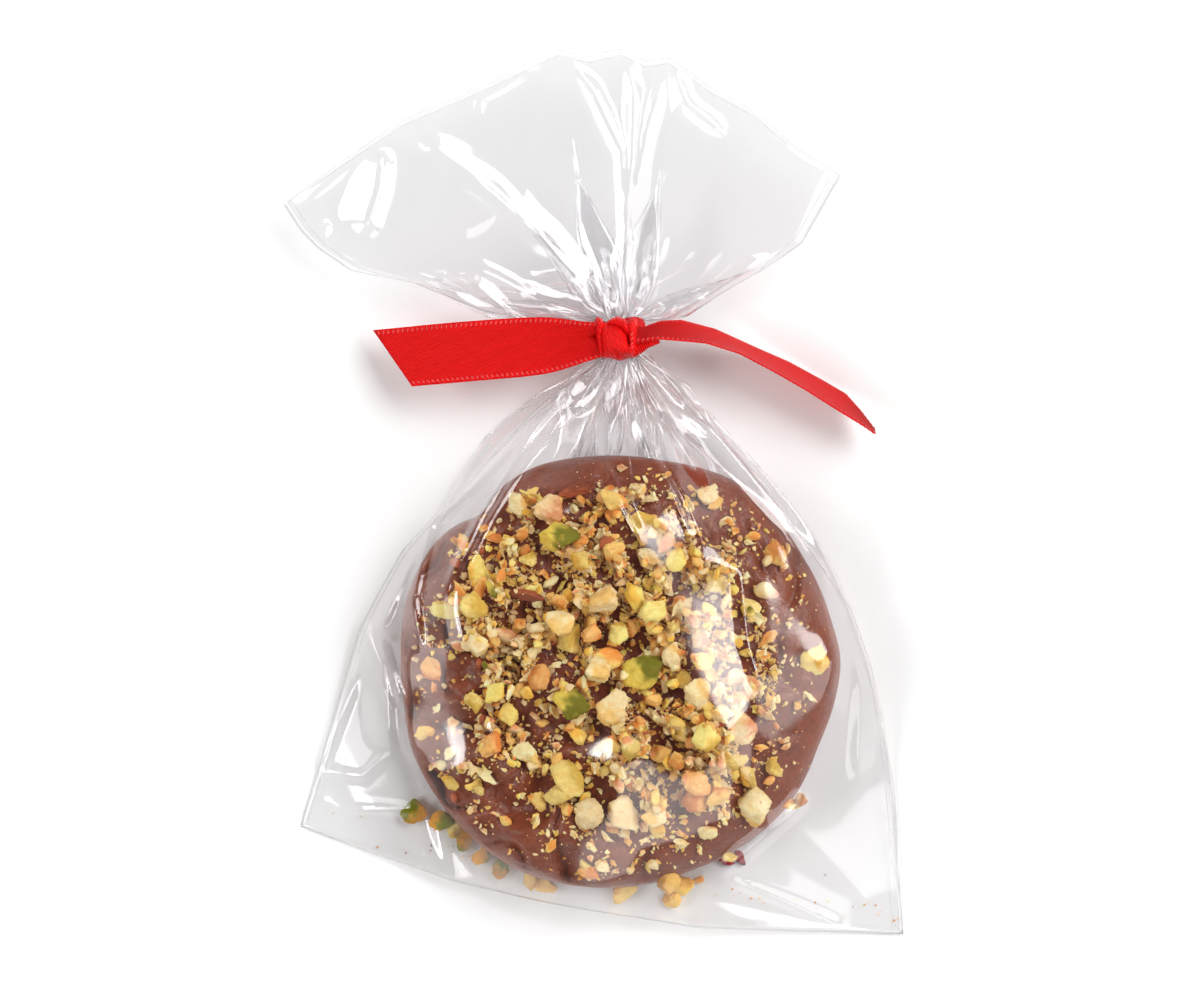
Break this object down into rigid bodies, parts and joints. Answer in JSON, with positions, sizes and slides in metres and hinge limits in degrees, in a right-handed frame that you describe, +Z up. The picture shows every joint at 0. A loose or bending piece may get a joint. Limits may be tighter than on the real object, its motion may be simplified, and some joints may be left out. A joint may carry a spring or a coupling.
{
  "type": "bagged pistachio cookie",
  "caption": "Round chocolate-coated cookie under chopped pistachios, in a clear film bag gathered, tied with a red satin ribbon and fanned out above the tie.",
  "frame": {"origin": "on the surface that the bag lies on, straight below the middle of the cookie", "axes": "+Z up, away from the surface and out of the shown side; +Y from the cookie to the bag's mouth; +X to the right of the shown side"},
  "size_m": [0.1031, 0.1489, 0.0179],
  "materials": {
    "film": "clear, glossy",
    "satin": "satin twill"
  },
  "bodies": {
    "root": {"bag": "film", "ribbon": "satin"}
  },
  "joints": []
}
